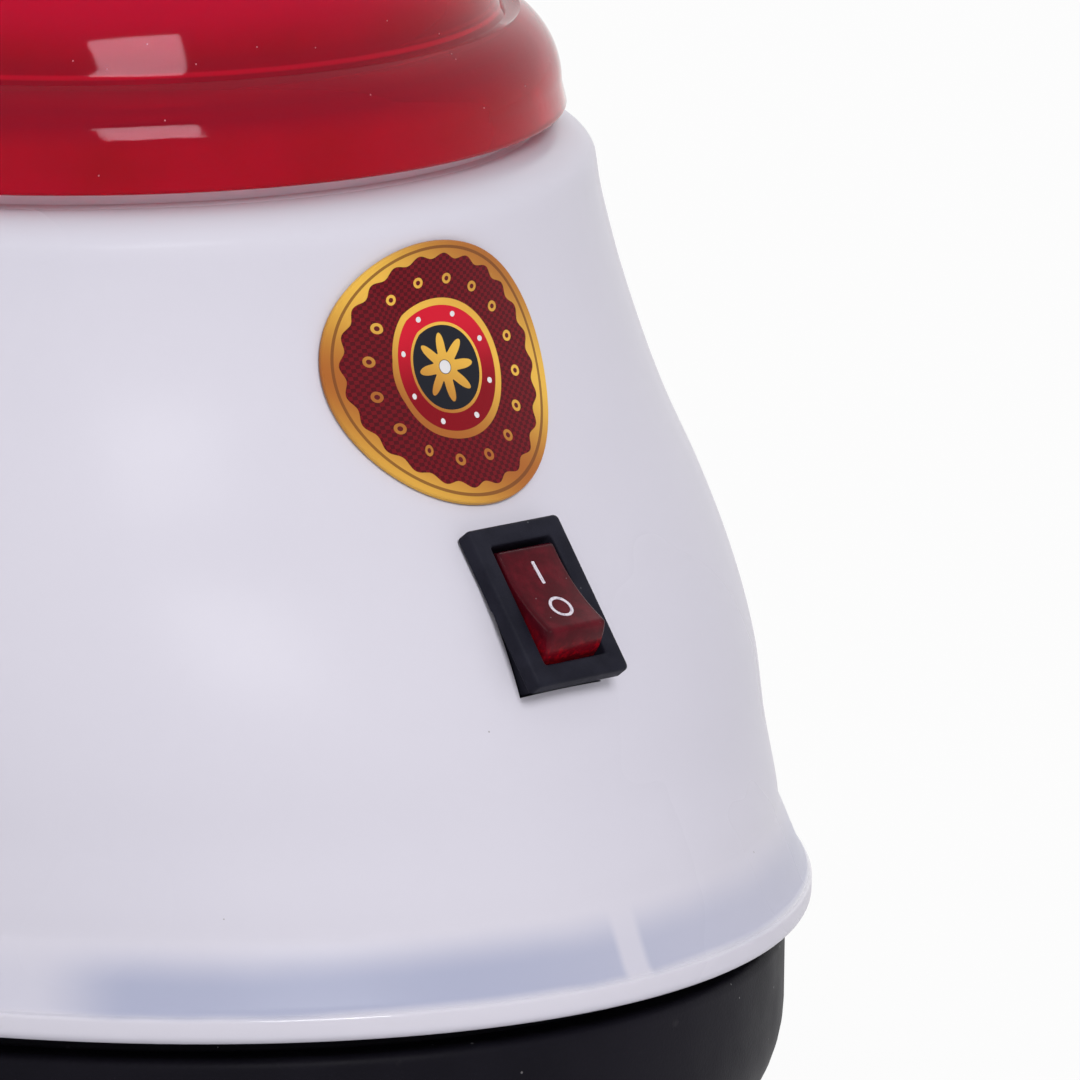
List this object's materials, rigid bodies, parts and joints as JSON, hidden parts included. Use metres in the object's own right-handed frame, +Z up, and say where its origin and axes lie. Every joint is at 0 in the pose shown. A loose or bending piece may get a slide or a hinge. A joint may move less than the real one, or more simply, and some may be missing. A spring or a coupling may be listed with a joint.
{
  "type": "wax heater",
  "caption": "Electric wax heater: oval flared body on a dark base, lift-out round pot under a clear domed lid with a knob, and a rocker switch on the sloped front.",
  "frame": {"origin": "middle of the footprint, at the undersides of the feet", "axes": "+Z up, -Y out of the front with the switch and the plaque, +Y to the back along the oval's long side, +X to the right seen from the front"},
  "size_m": [0.1708, 0.2066, 0.1893],
  "materials": {
    "body_white": "glossy white moulded plastic, slightly translucent",
    "base_black": "satin black moulded plastic",
    "foot_rubber": "matt black rubber",
    "plaque_maroon": "glossy printed plaque, maroon with a gold edge",
    "switch_charcoal": "matt charcoal plastic",
    "rocker_red": "dark translucent red plastic",
    "plunger_steel": "bright steel",
    "contact_copper": "copper alloy",
    "terminal_brass": "tinned brass",
    "lamp_glass": "clear glass",
    "well_aluminium": "spun aluminium",
    "pot_aluminium": "spun aluminium, polished",
    "grip_black": "heat-proof black phenolic",
    "rivet_aluminium": "bright aluminium",
    "lid_red": "clear deep red plastic",
    "knob_black": "glossy black plastic",
    "screw_steel": "zinc-plated steel",
    "heater_mica": "mica sheet round a flat winding",
    "bracket_steel": "pressed steel",
    "shield_aluminium": "thin aluminium sheet",
    "thermostat_bakelite": "brown phenolic",
    "fuse_ceramic": "white ceramic tube",
    "block_white": "white nylon",
    "block_brass": "brass",
    "gland_rubber": "matt black rubber",
    "clamp_nylon": "black nylon",
    "lead_red": "silicone insulation",
    "lead_brown": "silicone insulation",
    "lead_blue": "silicone insulation"
  },
  "bodies": {
    "base": {"body_shell": "body_white", "base_tray": "base_black", "rubber_foot_1": "foot_rubber", "rubber_foot_2": "foot_rubber", "rubber_foot_3": "foot_rubber", "rubber_foot_4": "foot_rubber", "label_plaque": "plaque_maroon", "switch_housing": "switch_charcoal", "switch_terminal_1": "terminal_brass", "switch_terminal_2": "terminal_brass", "switch_terminal_3": "terminal_brass", "neon_lamp": "lamp_glass", "heating_well": "well_aluminium", "weld_stud": "screw_steel", "stud_nut": "screw_steel", "tie_screw_1": "screw_steel", "tie_screw_2": "screw_steel", "tie_screw_3": "screw_steel", "tie_nut_1": "screw_steel", "tie_nut_2": "screw_steel", "tie_nut_3": "screw_steel", "shield_nut_1": "screw_steel", "shield_nut_2": "screw_steel", "shield_nut_3": "screw_steel", "thermostat_screw_1": "screw_steel", "thermostat_screw_2": "screw_steel", "fuse_clip": "screw_steel", "fuse_clip_screw": "screw_steel", "clamp_screw_1": "screw_steel", "clamp_screw_2": "screw_steel", "heater_disc": "heater_mica", "bracket_plate": "bracket_steel", "heat_shield": "shield_aluminium", "thermostat": "thermostat_bakelite", "thermal_fuse": "fuse_ceramic", "terminal_block": "block_white", "block_screw_1": "block_brass", "block_screw_2": "block_brass", "block_screw_3": "block_brass", "cord_gland": "gland_rubber", "cord_clamp": "clamp_nylon", "lead_switched": "lead_red", "lead_heater": "lead_red", "lead_live": "lead_brown", "lead_lamp": "lead_blue", "lead_neutral": "lead_blue"},
    "rocker": {"switch_rocker": "rocker_red", "rocker_plunger": "plunger_steel"},
    "lever": {"contact_lever": "contact_copper"},
    "pot": {"wax_pot": "pot_aluminium", "pot_grip_1": "grip_black", "pot_grip_2": "grip_black", "pot_rivet_1": "rivet_aluminium", "pot_rivet_2": "rivet_aluminium", "pot_rivet_3": "rivet_aluminium", "pot_rivet_4": "rivet_aluminium"},
    "lid": {"lid_shell": "lid_red", "lid_knob": "knob_black", "lid_knob_screw": "screw_steel", "lid_washer": "screw_steel"}
  },
  "joints": [
    {"name": "rocker_tilt", "type": "hinge", "parent": "base", "child": "rocker", "pos_m": [0, -0.08615, 0.07846], "axis": [1, 0, 0], "range_deg": [0, 24]},
    {"name": "lever_tilt", "type": "hinge", "parent": "base", "child": "lever", "pos_m": [0, -0.08074, 0.07435], "axis": [1, 0, 0], "range_deg": [-9.6, 0]},
    {"name": "pot_lift", "type": "slide", "parent": "base", "child": "pot", "axis": [0, 0, 1], "range_m": [0, 0.12]},
    {"name": "lid_lift", "type": "slide", "parent": "pot", "child": "lid", "axis": [0, 0, 1], "range_m": [0, 0.08]}
  ],
  "couplings": [
    {"joint": "lever_tilt", "follows": "rocker_tilt", "ratio": -0.4}
  ]
}
